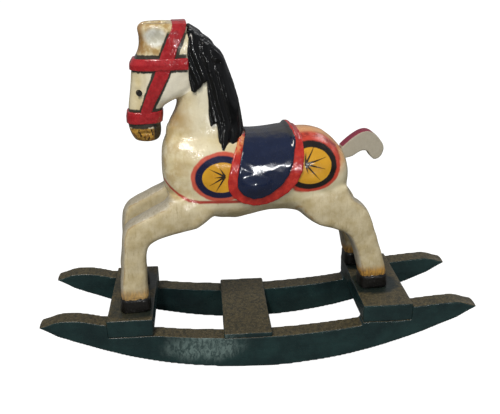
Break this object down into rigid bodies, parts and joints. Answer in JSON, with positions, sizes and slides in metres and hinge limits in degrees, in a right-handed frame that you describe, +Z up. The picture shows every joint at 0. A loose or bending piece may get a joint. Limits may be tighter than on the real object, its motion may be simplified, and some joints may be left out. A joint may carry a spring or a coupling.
{
  "type": "rocking horse",
  "caption": "Small carved and painted wooden rocking horse on bowed rockers, its hooves on boards let into them, with a plank across the middle.",
  "frame": {"origin": "on the floor, under the middle of the toy's length and width, with the toy as it rests on a level floor", "axes": "the horse faces -Y, +X is to its left, +Z is up"},
  "size_m": [0.082, 0.2998, 0.2322],
  "materials": {
    "green_paint": "gloss paint, worn",
    "steel": "plain",
    "cream_paint": "gloss paint with a brown wash",
    "leg_paint": "matt paint",
    "dowel_wood": "bare",
    "tail_paint": "matt paint",
    "black_paint": "gloss paint",
    "red_paint": "gloss paint",
    "blue_paint": "gloss paint",
    "black_enamel": "gloss"
  },
  "bodies": {
    "root": {"rocker_left": "green_paint", "rocker_right": "green_paint", "front_hoof_board": "green_paint", "middle_slat": "green_paint", "rear_hoof_board": "green_paint", "board_nails": "steel", "slat_nails": "steel", "hoof_screws": "steel", "torso": "cream_paint", "neck": "cream_paint", "head": "cream_paint", "front_leg_left": "leg_paint", "front_leg_right": "leg_paint", "rear_leg_left": "leg_paint", "rear_leg_right": "leg_paint", "leg_dowels": "dowel_wood", "neck_dowel": "dowel_wood", "head_dowel": "dowel_wood", "tail": "tail_paint", "mane": "black_paint", "saddle_skirt": "red_paint", "saddle_seat": "blue_paint", "headstall": "red_paint", "browband": "red_paint", "noseband": "red_paint", "eyes": "black_enamel"}
  },
  "joints": []
}
